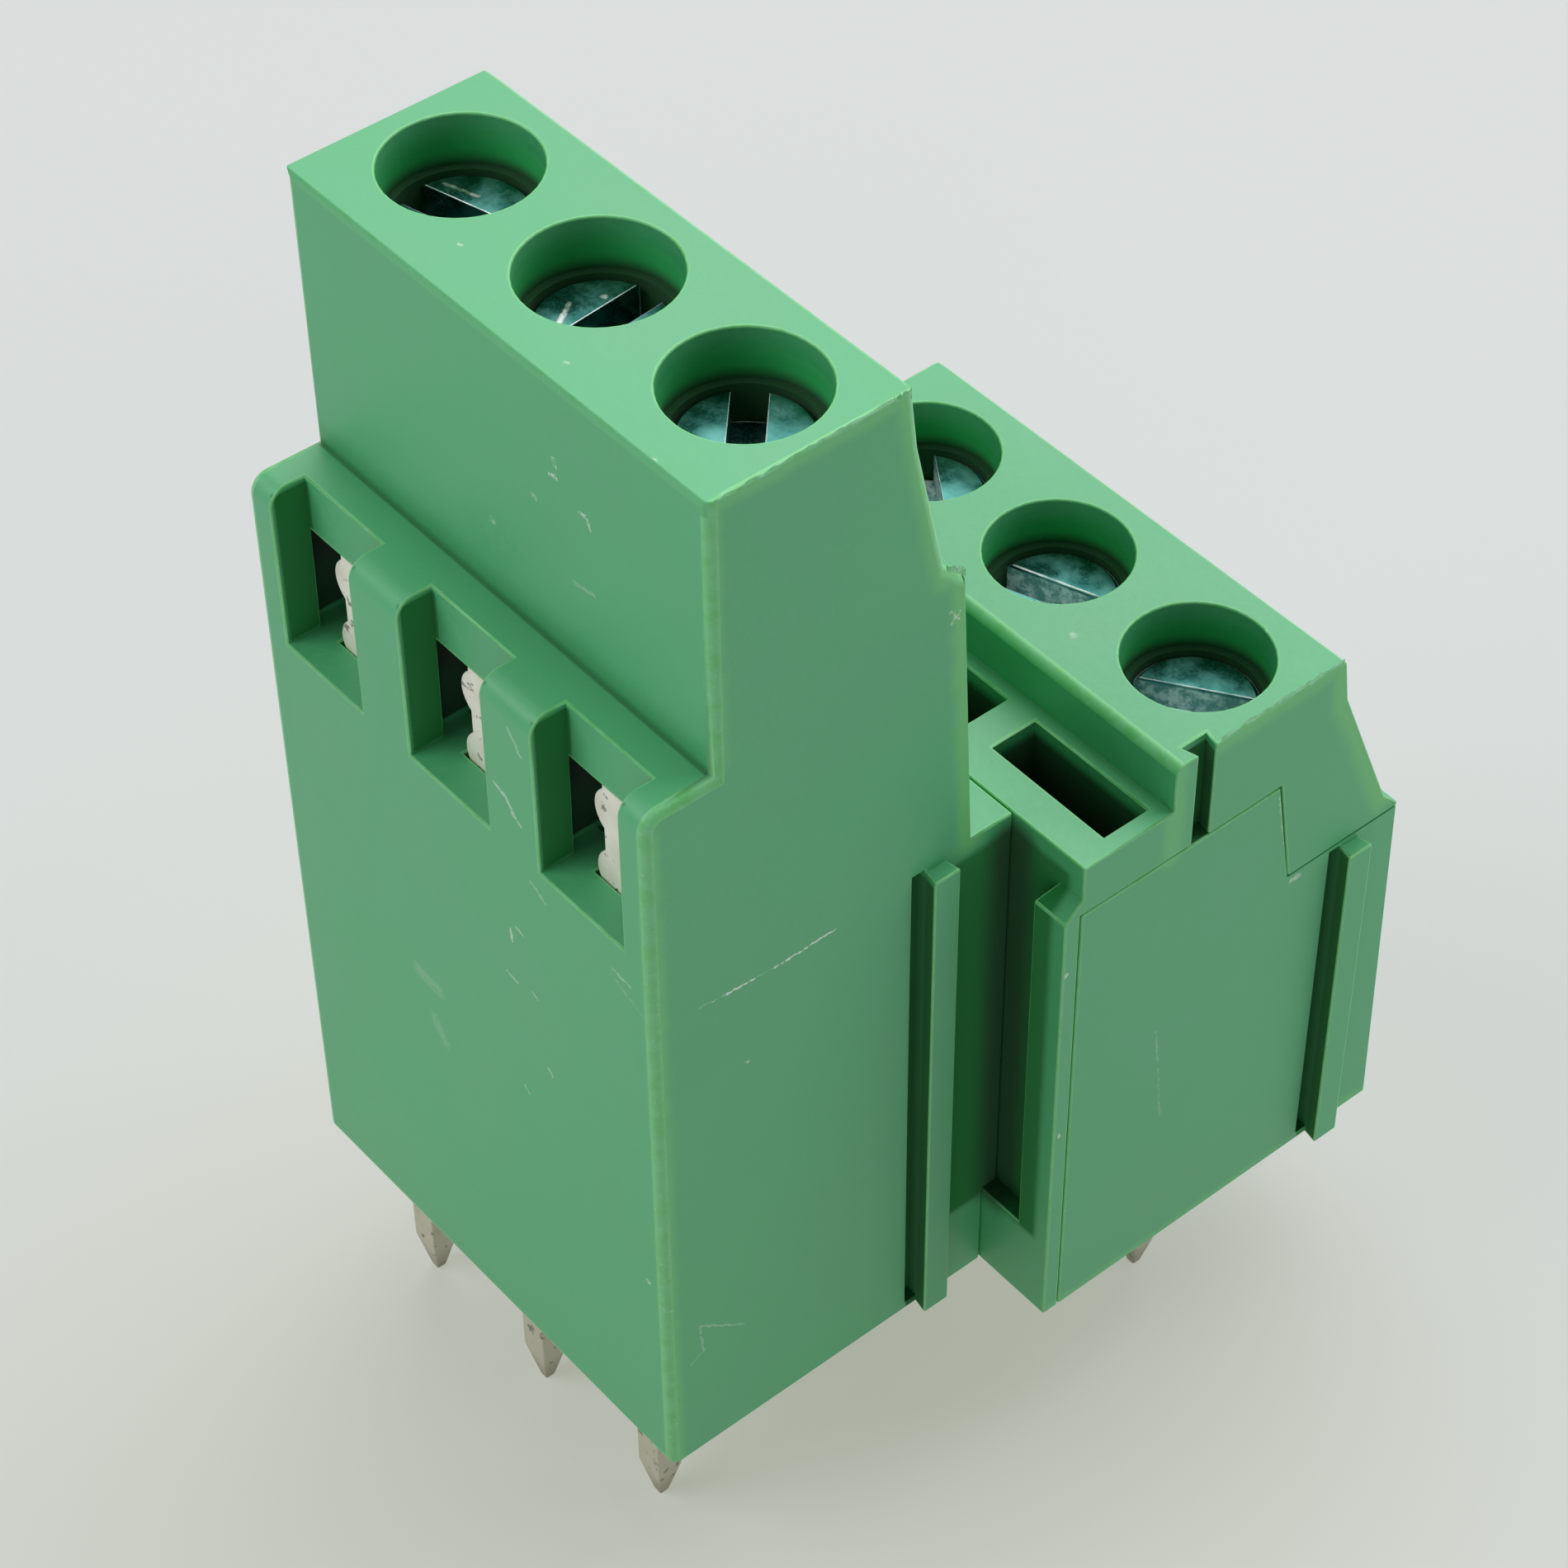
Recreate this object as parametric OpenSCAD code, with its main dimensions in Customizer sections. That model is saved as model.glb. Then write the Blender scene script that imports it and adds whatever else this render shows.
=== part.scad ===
// Two-tier screw terminal block for a printed circuit board.
// X runs along the row, Y points to the back, Z points up. The board's surface is z = 0,
// and the origin is the middle of the solder-pin pattern.

/* [Row] */
// Distance between neighbouring poles
pitch = 5.08; // [4.9:0.02:6.4]
// Distance between the two rows of solder pins
row_gap = 15.24; // [14:0.02:17]

/* [Upper housing] */
// Height of the tall moulding
upper_h = 32.1; // [30:0.1:36]
// Depth of the tall moulding at its foot
upper_d = 11.2; // [10.6:0.1:13]
// Height of the foot, which is level with the lower shelf
foot_h = 16.9; // [15:0.1:17.6]
// Height of the shelf at the back
upper_shelf_h = 24; // [21:0.1:25]
// Depth of the shelf at the back
upper_shelf_d = 2.05; // [1.6:0.05:2.4]
// Radius of the shelf's back edge
shelf_r = 0.55; // [0.3:0.05:1]
// Depth of the front face where it meets the foot
upper_front_d = 9.87; // [9.5:0.01:10.3]
// Depth of the ledge's nose, from the tower's back wall
upper_lip_d = 7.37; // [6.8:0.01:7.7]
// Drop from the top to the ledge's nose
upper_lip_drop = 6.37; // [5.5:0.01:7]
// Drop from the top to the start of the sloping face
upper_neck_drop = 1.8; // [0.8:0.1:3]

/* [Back notches] */
// Width of each notch
notch_w = 3.15; // [2.4:0.05:3.7]
// Depth of each notch
notch_d = 1.05; // [0.9:0.05:1.3]
// Height of the window at the foot of each notch
notch_window_h = 3.2; // [2:0.1:4]
// Height of the strip of wall above each window
strip_h = 1.7; // [1.4:0.1:3]

/* [Lower housing] */
// Height of the low moulding
lower_h = 18.4; // [18:0.1:21]
// Depth of the low moulding at the board
lower_d = 11.62; // [11:0.02:13]
// Depth of the shelf behind the low tower
lower_shelf_d = 2.95; // [2.6:0.05:3.4]
// Depth of the ledge's nose, from the tower's back wall
lower_lip_d = 8.4; // [7.6:0.01:8.5]
// Drop from the top to the ledge's nose
lower_lip_drop = 6.65; // [5.8:0.01:7]
// Drop from the top to the start of the sloping face
lower_neck_drop = 1.4; // [0.8:0.1:3]
// Width of each test window in the shelf
window_w = 4.06; // [2.4:0.02:4.4]
// Depth of each test window
window_d = 1.44; // [1:0.02:1.6]
// Strip of shelf between a test window and the tower
window_rim = 0.41; // [0.2:0.01:0.6]

/* [Both towers] */
// Depth of each tower's flat top
tower_d = 5.75; // [5.2:0.05:6.2]
// Forward lean of the upright face below the top
neck_lean = 0.2; // [0:0.05:0.4]
// Chamfer above each ledge
lip_chamfer = 0.55; // [0.2:0.05:0.8]
// Distance from each tower's back wall to the screw axis
axis_d = 3.1; // [2.8:0.05:3.4]
// Thickness of the outer walls
wall = 1.1; // [0.8:0.05:1.3]

/* [End cover] */
// Drop of the cover's top below the shelf
cover_drop = 1.65; // [1.6:0.05:2.3]
// Distance of the cover's step from the low tower's back wall
cover_step_d = 3.8; // [2:0.1:5]
// Forward lean of the step
cover_lean_d = 0.6; // [0:0.1:1]
// Drop of the cover's front edge below the ledge's nose
cover_front_drop = 0.15; // [0.05:0.05:1]

/* [Dovetails] */
// Width of each end rib at its crest
rib_w = 0.84; // [0.5:0.02:0.9]
// Height of each end rib
rib_h = 0.45; // [0.3:0.05:0.5]
// Undercut on each side of a rib
rib_lean = 0.08; // [0:0.02:0.2]
// Distance of the end ribs from the screw axis
rib_d = 3.57; // [3.5:0.01:3.8]
// Drop of an end rib's top below the foot or the cover
rib_drop = 0.2; // [0:0.05:0.6]
// Width of the relief groove behind an end rib
relief_w = 0.4; // [0.3:0.05:0.6]
// Depth of the relief groove
relief_d = 0.35; // [0.1:0.05:0.4]
// Half width of the wide ribs that join the two mouldings
joint_rib_w = 1.16; // [0.9:0.02:1.6]
// Height of the wide ribs
joint_rib_h = 0.5; // [0.3:0.05:0.55]
// Undercut on each side of a wide rib
joint_rib_lean_w = 0.3; // [0.1:0.02:0.5]
// Drop of the wide ribs' tops below the shelf
joint_rib_drop = 1.1; // [0.5:0.1:2]
// Height of the plinth under the wide ribs
plinth_h = 2.9; // [1.5:0.1:4]
// Thickness of the tab behind the end groove at the low tower's top
tab_w = 0.72; // [0.5:0.02:0.9]
// Width of that groove at its mouth
key_w = 0.56; // [0.4:0.02:0.7]
// Depth of that groove
key_d = 0.5; // [0.3:0.05:0.5]
// Undercut on each side of that groove
key_lean = 0.14; // [0.05:0.01:0.2]

/* [Screws] */
// Diameter of each screwdriver well
well_dia = 3.9; // [3.9:0.05:4.3]
// Diameter of the screw heads
head_dia = 3.4; // [3:0.05:3.5]
// Height of the screw heads
head_h = 1.85; // [1.3:0.05:2]
// Depth of the heads below the tower's top
head_drop = 1.5; // [1.2:0.05:2.4]
// Chamfer round the head
head_chamfer = 0.15; // [0.05:0.05:0.3]
// Width of the slot
slot_w = 0.85; // [0.5:0.05:1]
// Depth of the slot
slot_h = 0.95; // [0.5:0.05:1.1]
// Diameter of the threaded shank, at the middle of its thread
shank_dia = 2.62; // [2:0.02:2.8]
// Wall under each head
seat_h = 0.7; // [0.5:0.05:1]

/* [Clamps] */
// Rise of a cage from open to shut
cage_rise = 2; // [1:0.1:2.3]
// Width of a cage
cage_w = 3.7; // [3.4:0.05:3.8]
// Length of a cage along the wire
cage_l = 3.4; // [3:0.05:3.5]
// Thickness of a cage's threaded top
cage_top = 1.4; // [1:0.1:1.8]
// Thickness of a cage's floor
cage_floor = 0.8; // [0.6:0.05:1]
// Thickness of a cage's sides
cage_side_t = 0.45; // [0.3:0.05:0.45]
// Radius of a cage's outer corners
cage_r = 0.45; // [0.2:0.05:0.6]
// Depth of the trough in a cage's floor
trough_h = 0.25; // [0.1:0.05:0.4]
// Height of the space for the wire in an open cage
wire_gap = 2.5; // [2.4:0.1:3]
// Diameter of each wire entry
wire_dia = 3; // [2.4:0.1:3.4]
// Diameter of the entry's mouth
mouth_dia = 4.2; // [3.6:0.1:4.4]
// Length of the entry's taper
mouth_l = 0.9; // [0.5:0.1:1.2]

/* [Contacts] */
// Thickness of the contact strip
strip_t = 0.8; // [0.6:0.05:0.9]
// Width of each solder pin
pin_w = 0.9; // [0.7:0.05:1]
// Length of the pins below the board's surface
pin_l = 5; // [3:0.1:6]
// Length of the taper at a pin's tip
pin_tip_l = 1.3; // [0.5:0.1:2]
// Width left at a pin's tip
pin_tip_w = 0.3; // [0.1:0.05:0.5]
// Radius of the guide lobes on the tall contacts
lobe_r = 0.78; // [0.6:0.02:0.8]
// Height of the lowest lobes
low_lobe_h = 2.4; // [1.5:0.1:6]
// Height of the low contacts' feet above the board
foot_gap = 1.2; // [0.6:0.1:2]

/* [Clearances] */
// Running clearance round turning and guided pieces
fit = 0.05; // [0.02:0.01:0.08]
// Sliding clearance round the cages
slide_gap = 0.08; // [0.06:0.01:0.12]
// Seam between the mouldings and round the cover
seam = 0.04; // [0.02:0.01:0.08]

/* [Slots] */
// Direction of the slots in the tall tier, from the near end, in degrees from the row
upper_slots = [137, 95, 15];
// Direction of the slots in the low tier
lower_slots = [34, 20, 146];

/* [Hidden] */
$fn = 64;
poles = 3;
over = 1;
mould_green = [0.36, 0.66, 0.45];
zinc = [0.66, 0.72, 0.74];
nickel = [0.72, 0.71, 0.68];
tin = [0.80, 0.77, 0.70];

row_l = poles * pitch;
stagger = pitch / 2;
upper_x0 = -row_l / 2 + stagger / 2;
lower_x0 = upper_x0 - stagger;
upper_x = [for (i = [0 : poles - 1]) upper_x0 + (i + 0.5) * pitch];
lower_x = [for (i = [0 : poles - 1]) lower_x0 + (i + 0.5) * pitch];

// Drops below a tower's top, from the head down to the cage's floor
seat_drop = head_drop + head_h + fit;
chamber_drop = seat_drop + seat_h;
cage_drop = chamber_drop + 2 * fit + cage_rise;
bar_drop = cage_drop + cage_top + 2 * fit;
gap_drop = bar_drop + strip_t;
floor_drop = gap_drop + wire_gap;
wire_drop = gap_drop + wire_gap / 2;
well_l = head_drop - fit;

// Widths across the row
cavity_w = cage_w + 2 * slide_gap;
end_wall = (pitch - cavity_w) / 2;
core_w = cavity_w - 2 * (rib_h + seam);
bar_w = cage_w - 2 * cage_side_t - 2 * fit;
plate_w = cavity_w - 2 * fit;
groove_w = 2 * (lobe_r + fit);

// Depths from the back face, in the tall tier
upper_axis = upper_shelf_d + axis_d;
leg_d0 = notch_d + fit;
leg_d1 = leg_d0 + strip_t;
hollow_d0 = leg_d1 + 2 * fit;
chamber_half = cage_l / 2 + 2 * fit;
riser_d1 = upper_axis - chamber_half;
riser_d0 = riser_d1 - strip_t;
upper_hollow_d1 = upper_axis + chamber_half + (rib_d - chamber_half) / 4;
upper_core_d1 = upper_d - joint_rib_h - 2 * fit - wall / 2;
pin_d = leg_d0 + strip_t / 2;
back_y = row_gap / 2 + pin_d;

// Heights in the tall tier
window_top = upper_shelf_h - strip_h;
notch_floor = window_top - notch_window_h;
joggle_top = window_top - fit;
upper_bar_top = upper_h - bar_drop;
upper_rib_top = foot_h - rib_drop;
upper_core_h = foot_h - wall;

// Depths and heights in the low tier
lower_back = upper_d + seam;
lower_wall = lower_back + lower_shelf_d;
lower_axis = lower_wall + axis_d;
lower_front = lower_back + lower_d;
window_d1 = lower_wall - window_rim;
window_d0 = window_d1 - window_d;
lower_leg_d0 = window_d0 + window_d / 2 - fit;
lower_hollow_d0 = lower_leg_d0 - fit;
lower_bar_top = lower_h - bar_drop;
lower_hollow_h = lower_bar_top + wall;
lower_core_h = lower_h - wire_drop - wire_dia / 2 - wall;
lower_core_d1 = lower_front - wall;
lower_pin_d = pin_d + row_gap;
cover_h = foot_h - cover_drop;
cover_front_h = lower_h - lower_lip_drop - cover_front_drop;
lower_rib_top = cover_front_h - rib_drop;

// Y of a depth that is measured forward from the back face
function y_of(depth) = back_y - depth;

// A profile given as [depth, height] pairs, as [y, z]
function placed(points) = [for (p = points) [y_of(p[0]), p[1]]];

// The outline of a clamp tower, from its back wall over the top to the ledge's nose
function tower(back, top, neck_drop, lip_d, lip_drop) = [
    [back, top],
    [back + tower_d, top],
    [back + tower_d + neck_lean, top - neck_drop],
    [back + lip_d - lip_chamfer, top - lip_drop + lip_chamfer],
    [back + lip_d, top - lip_drop]
];

// Extrudes a [y, z] profile along the row
module along_row(x, length) {
    translate([x, 0, 0]) rotate([90, 0, 90]) linear_extrude(length) children();
}

// A space centred on x, between two depths and two heights
module space(x, width, d0, d1, z0, z1) {
    translate([x - width / 2, y_of(d1), z0]) cube([width, d1 - d0, z1 - z0]);
}

// A dovetail column whose crest is wider than its root: crest half width, undercut and height
module dovetail(half, lean, height, z0, z1) {
    translate([0, 0, z0]) linear_extrude(z1 - z0)
        polygon([[-half + lean, 0], [-half, height], [half, height], [half - lean, 0]]);
}

// A dovetail that stands on an end face, crest towards -X
module end_rib(x, depth, z0, z1, grow = 0) {
    translate([x, y_of(depth), 0]) rotate(90) dovetail(rib_w / 2 + grow, rib_lean, rib_h + grow, z0, z1);
}

// The groove beside an end rib
module relief(x, depth, z1) {
    root = depth - rib_w / 2 + rib_lean;
    space(x, 2 * relief_d, root - relief_w, root, wall / 4, z1);
}

// The end groove from the low tower's top down to the cover, or with a negative grow the key that
// fits it
module end_key(x, z1, grow = 0) {
    middle = lower_wall + tab_w + key_w / 2;
    translate([x, y_of(middle), 0]) rotate(-90)
        dovetail(key_w / 2 + key_lean + grow, key_lean, key_d + grow, cover_h - 2 * grow, z1);
}

// Wells, seats and clamp chamber of one pole
module clamp_space(x, axis, top, floor_z) {
    translate([x, y_of(axis), top]) {
        translate([0, 0, -well_l]) cylinder(d = well_dia, h = well_l + over);
        translate([0, 0, -seat_drop]) cylinder(d = head_dia + 2 * fit, h = seat_drop);
        translate([0, 0, -chamber_drop - over]) cylinder(d = shank_dia + 8 * fit, h = chamber_drop);
    }
    space(x, cavity_w, axis - chamber_half, axis + chamber_half, floor_z, top - chamber_drop);
}

// Round wire entry with a tapered mouth in the front face
module wire_entry(x, axis, front, z) {
    translate([x, y_of(axis), z]) rotate([90, 0, 0]) cylinder(d = wire_dia, h = front - axis + over);
    translate([x, y_of(front - mouth_l), z]) rotate([90, 0, 0])
        cylinder(d1 = wire_dia, d2 = mouth_dia, h = mouth_l);
}

// The wide ribs and the plinth on the low moulding's back, or with a positive grow the grooves
// they slide in, within a length of the row
module joint_ribs(x, length, grow = 0) {
    height = joint_rib_h + seam + grow;
    rib_top = foot_h - joint_rib_drop + grow;
    intersection() {
        for (i = [0 : poles])
            translate([lower_x0 + i * pitch, y_of(lower_back), 0])
                dovetail(joint_rib_w + grow, joint_rib_lean_w, height, -over * sign(grow), rib_top);
        along_row(x, length)
            polygon(placed([
                [lower_back + over, -over], [lower_back - height, -over],
                [lower_back - height, rib_top - height], [lower_back, rib_top], [lower_back + over, rib_top]
            ]));
    }
    along_row(x, length)
        polygon(placed([
            [lower_back, -over * sign(grow)], [lower_back - height, -over * sign(grow)],
            [lower_back - height, plinth_h + grow], [lower_back, plinth_h + grow]
        ]));
}

module upper_profile() {
    polygon(placed(concat(
        [[0, 0], [0, upper_shelf_h - shelf_r], [shelf_r, upper_shelf_h], [upper_shelf_d, upper_shelf_h]],
        tower(upper_shelf_d, upper_h, upper_neck_drop, upper_lip_d, upper_lip_drop),
        [[upper_front_d, foot_h], [upper_d, foot_h], [upper_d, 0]]
    )));
    translate([y_of(shelf_r), upper_shelf_h - shelf_r]) circle(shelf_r);
}

module lower_profile() {
    polygon(placed(concat(
        [[lower_back, 0], [lower_back, foot_h], [lower_wall, foot_h]],
        tower(lower_wall, lower_h, lower_neck_drop, lower_lip_d, lower_lip_drop),
        [[lower_front, 0]]
    )));
}

// The cover's outline, grown by the seam where it is cut from the moulding
module cover_profile(grow = 0) {
    step = lower_wall + cover_step_d + grow;
    polygon(placed([
        [lower_back - grow, -grow], [lower_back - grow, cover_h + grow],
        [step, cover_h + grow], [step + cover_lean_d, cover_front_h + grow],
        [lower_front + grow, cover_front_h + grow], [lower_front + grow, -grow]
    ]));
}

module upper_housing() {
    rib_at = upper_axis + rib_d;
    color(mould_green) {
        difference() {
            along_row(upper_x0, row_l) upper_profile();
            for (x = upper_x) {
                clamp_space(x, upper_axis, upper_h, upper_core_h);
                wire_entry(x, upper_axis, upper_front_d, upper_h - wire_drop);
                space(x, notch_w, -over, notch_d, notch_floor, upper_shelf_h + over);
                space(x, cavity_w, notch_d, hollow_d0 + fit, notch_floor, window_top);
                space(x, groove_w, notch_d, hollow_d0 + fit, -over, window_top);
                space(x, cavity_w, hollow_d0, upper_axis, -over, window_top);
                space(x, cavity_w, riser_d0 - fit, upper_axis, notch_floor, max(window_top, upper_bar_top + fit));
                space(x, cavity_w, hollow_d0, upper_hollow_d1, -over, upper_core_h + fit);
                space(x, core_w, upper_axis, upper_core_d1, -over, upper_core_h);
            }
            joint_ribs(upper_x0, row_l, seam);
            relief(upper_x0, rib_at, upper_rib_top + rib_drop / 2);
            end_rib(upper_x0 + row_l, rib_at, -over, upper_rib_top + seam, seam);
        }
        end_rib(upper_x0, rib_at, 0, upper_rib_top);
    }
}

module lower_housing() {
    color(mould_green) {
        difference() {
            union() {
                along_row(lower_x0, row_l) lower_profile();
                joint_ribs(lower_x0, row_l);
                end_key(lower_x0 + row_l, lower_h, -seam);
            }
            for (x = lower_x) {
                clamp_space(x, lower_axis, lower_h, lower_core_h);
                wire_entry(x, lower_axis, lower_front, lower_h - wire_drop);
                space(x, window_w, window_d0, window_d1, lower_hollow_h - fit, foot_h + over);
                space(x, cavity_w, lower_hollow_d0, lower_axis + chamber_half, -over, lower_hollow_h);
                space(x, core_w, lower_axis, lower_core_d1, -over, lower_core_h);
            }
            along_row(lower_x0 - over, over + end_wall) cover_profile(seam);
            end_key(lower_x0, lower_h + over);
            end_rib(lower_x0 + row_l, lower_axis + rib_d, -over, lower_rib_top + seam, seam);
        }
    }
}

module end_cover() {
    rib_at = lower_axis + rib_d;
    color(mould_green) {
        difference() {
            along_row(lower_x0, end_wall - seam) intersection() {
                lower_profile();
                cover_profile();
            }
            relief(lower_x0, rib_at, lower_rib_top + rib_drop / 2);
        }
        end_rib(lower_x0, rib_at, 0, lower_rib_top);
    }
}

// A slotted screw with its head's top at the given height
module screw(x, axis, top, slot_angle) {
    shank_l = bar_drop - fit - head_drop - head_h;
    color(zinc) translate([x, y_of(axis), top - head_drop]) difference() {
        rotate_extrude() polygon([
            [0, 0], [head_dia / 2 - head_chamfer, 0], [head_dia / 2, -head_chamfer],
            [head_dia / 2, -head_h], [shank_dia / 2, -head_h],
            [shank_dia / 2, -head_h - shank_l + head_chamfer],
            [shank_dia / 2 - head_chamfer, -head_h - shank_l], [0, -head_h - shank_l]
        ]);
        rotate(slot_angle) translate([-head_dia, -slot_w / 2, -slot_h]) cube([2 * head_dia, slot_w, slot_h + over]);
    }
}

// A cage's section across the wire: rounded outside, with a trough in the floor
module cage_section() {
    height = floor_drop + cage_floor - cage_drop;
    inner_w = cage_w - 2 * cage_side_t;
    trough_r = (inner_w * inner_w / 4 + trough_h * trough_h) / (2 * trough_h);
    difference() {
        union() {
            translate([-cage_w / 2, -height + cage_r]) square([cage_w, height - 2 * cage_r]);
            translate([-cage_w / 2 + cage_r, -height]) square([cage_w - 2 * cage_r, height]);
            for (side = [-1, 1], z = [-cage_r, -height + cage_r])
                translate([side * (cage_w / 2 - cage_r), z]) circle(cage_r);
        }
        translate([-inner_w / 2, -height + cage_floor]) square([inner_w, height - cage_floor - cage_top]);
        intersection() {
            translate([0, -height + cage_floor - trough_h + trough_r]) circle(trough_r);
            translate([-inner_w / 2, -height]) square([inner_w, height - cage_top]);
        }
    }
}

// A clamp cage at its lowest, open place
module cage(x, axis, top) {
    color(nickel) translate([x, y_of(axis), top - cage_drop]) difference() {
        translate([0, cage_l / 2, 0]) rotate([90, 0, 0]) linear_extrude(cage_l) cage_section();
        translate([0, 0, -cage_top - over]) cylinder(d = shank_dia + 2 * fit, h = cage_top + 2 * over);
    }
}

// A straight solder pin with a tapered tip, from the tip up to a height
module pin(x, depth, top_z, lobes = []) {
    tip_z = -pin_l;
    intersection() {
        translate([x, y_of(depth) + strip_t, 0]) rotate([90, 0, 0]) linear_extrude(2 * strip_t) {
            polygon([
                [-pin_tip_w / 2, tip_z], [pin_tip_w / 2, tip_z], [pin_w / 2, tip_z + pin_tip_l],
                [pin_w / 2, top_z], [-pin_w / 2, top_z], [-pin_w / 2, tip_z + pin_tip_l]
            ]);
            for (z = lobes) intersection() {
                translate([0, z]) circle(lobe_r);
                translate([-lobe_r, tip_z]) square([2 * lobe_r, top_z - tip_z]);
            }
        }
        along_row(x - lobe_r, 2 * lobe_r) polygon([
            [y_of(depth) - pin_tip_w / 2, tip_z], [y_of(depth) + pin_tip_w / 2, tip_z],
            [y_of(depth) + strip_t / 2, tip_z + pin_tip_l], [y_of(depth) + strip_t / 2, top_z],
            [y_of(depth) - strip_t / 2, top_z], [y_of(depth) - strip_t / 2, tip_z + pin_tip_l]
        ]);
    }
}

// Tall contact: pin and leg up the back wall, a joggle under the shelf and the bar through the cage
module upper_contact(x) {
    bar_base = upper_bar_top - strip_t;
    joggle_base = joggle_top - strip_t;
    color(tin) {
        pin(x, pin_d, joggle_top, [low_lobe_h, notch_floor + lobe_r / 3, joggle_top - 1.1 * lobe_r]);
        space(x, pin_w, leg_d0, riser_d0, joggle_base, joggle_top);
        space(x, plate_w, hollow_d0 + fit, riser_d1, joggle_base, joggle_top);
        space(x, plate_w, riser_d0, riser_d1, min(joggle_base, bar_base), max(joggle_top, upper_bar_top));
        space(x, bar_w, riser_d0, upper_axis + cage_l / 2 - fit, bar_base, upper_bar_top);
    }
}

// Low contact: bar through the cage, leg down behind it, and a foot that brings the pin forward
module lower_contact(x) {
    bar_base = lower_bar_top - strip_t;
    foot_top = foot_gap + strip_t;
    lower_leg_d1 = lower_leg_d0 + strip_t;
    foot_d1 = lower_pin_d + strip_t;
    shoulder = lower_axis - chamber_half;
    color(tin) {
        pin(x, lower_pin_d, foot_gap + strip_t / 2);
        along_row(x - plate_w / 2, plate_w) polygon(placed([
            [lower_leg_d0, foot_gap], [foot_d1, foot_gap], [foot_d1, foot_top], [lower_leg_d1, foot_top],
            [lower_leg_d1, bar_base], [shoulder, bar_base], [shoulder, lower_bar_top],
            [lower_leg_d0, lower_bar_top]
        ]));
        space(x, bar_w, shoulder, lower_axis + cage_l / 2 - fit, bar_base, lower_bar_top);
    }
}

module upper_screw(i) screw(upper_x[i], upper_axis, upper_h, upper_slots[i]);
module lower_screw(i) screw(lower_x[i], lower_axis, lower_h, lower_slots[i]);
module upper_cage(i) cage(upper_x[i], upper_axis, upper_h);
module lower_cage(i) cage(lower_x[i], lower_axis, lower_h);

upper_housing();
lower_housing();
end_cover();
upper_screw(0);  // upper_screw_1
upper_screw(1);  // upper_screw_2
upper_screw(2);  // upper_screw_3
lower_screw(0);  // lower_screw_1
lower_screw(1);  // lower_screw_2
lower_screw(2);  // lower_screw_3
upper_cage(0);  // upper_cage_1
upper_cage(1);  // upper_cage_2
upper_cage(2);  // upper_cage_3
lower_cage(0);  // lower_cage_1
lower_cage(1);  // lower_cage_2
lower_cage(2);  // lower_cage_3
upper_contact(upper_x[0]);  // upper_contact_1
upper_contact(upper_x[1]);  // upper_contact_2
upper_contact(upper_x[2]);  // upper_contact_3
lower_contact(lower_x[0]);  // lower_contact_1
lower_contact(lower_x[1]);  // lower_contact_2
lower_contact(lower_x[2]);  // lower_contact_3
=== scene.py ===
"""Looks for a two-tier screw terminal block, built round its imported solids.

Lengths in the tables are millimetres in the part's frame: X along the row, +Y to the plain
back, Z up from the board.
"""

import math

import bmesh
import bpy
from mathutils import Matrix, Vector, noise
from mathutils.bvhtree import BVHTree


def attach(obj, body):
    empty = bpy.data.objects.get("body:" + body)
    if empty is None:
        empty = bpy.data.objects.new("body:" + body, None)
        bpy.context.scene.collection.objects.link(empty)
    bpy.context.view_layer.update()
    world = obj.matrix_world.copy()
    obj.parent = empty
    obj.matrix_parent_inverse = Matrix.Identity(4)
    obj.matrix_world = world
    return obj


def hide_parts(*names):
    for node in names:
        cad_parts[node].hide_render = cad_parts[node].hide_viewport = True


MM = 0.001

# The photograph's camera
CAMERA_TARGET = (4.035, -3.4355, 9.0)
CAMERA_AZIMUTH = 230.5716
CAMERA_ELEVATION = 45.3394
CAMERA_ROLL = -0.6515
CAMERA_DISTANCE = 114.087
CAMERA_LENS = 96.65

FLOOR_Z = -5.0

# Planes of the mouldings, the middle of one pole of each tier, and the wells
BACK_Y = 9.12
TOWER_BACK_Y = 7.07
TALL_END_X = -6.35
LOW_END_X = -8.89
TALL_TOP_Z = 32.1
SHELF_Z = 24.0
LOW_TOP_Z = 18.4
PITCH = 5.08
TALL_POLE = (1.27, 3.97)
LOW_POLE = (-1.27, -8.17)
WELL_RADIUS = 1.95

# How far edges are rounded; a crisp edge meets a neighbour or bounds a small face
MOULDING_ROUNDING = 0.26
CRISP_ROUNDING = 0.06
SCREW_ROUNDING = 0.09
CAGE_ROUNDING = 0.04
CONTACT_ROUNDING = 0.06

# What counts as a short run of edges, a finely stepped one, a narrow face, a sliver, a touch, a sharp edge
SHORT_RUN = 6.0
FINE_STEP = 0.5
NARROW = 0.9
SLIVER = 0.3
TOUCH = 0.15
SHARP = math.radians(25)

MOULDINGS = ("upper_housing", "lower_housing", "end_cover")
ROW = (1, 2, 3)
TIERS = ("upper", "lower")

BODY_GREEN = (0.060, 0.41, 0.165, 1)
FLOW_GREEN = (0.066, 0.44, 0.175, 1)
# Painted sheen: a pale grey-green flecked into the grain, standing for the satin surface's sheen
PAINTED_SHEEN_GREEN = (0.30, 0.50, 0.38, 1)
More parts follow.
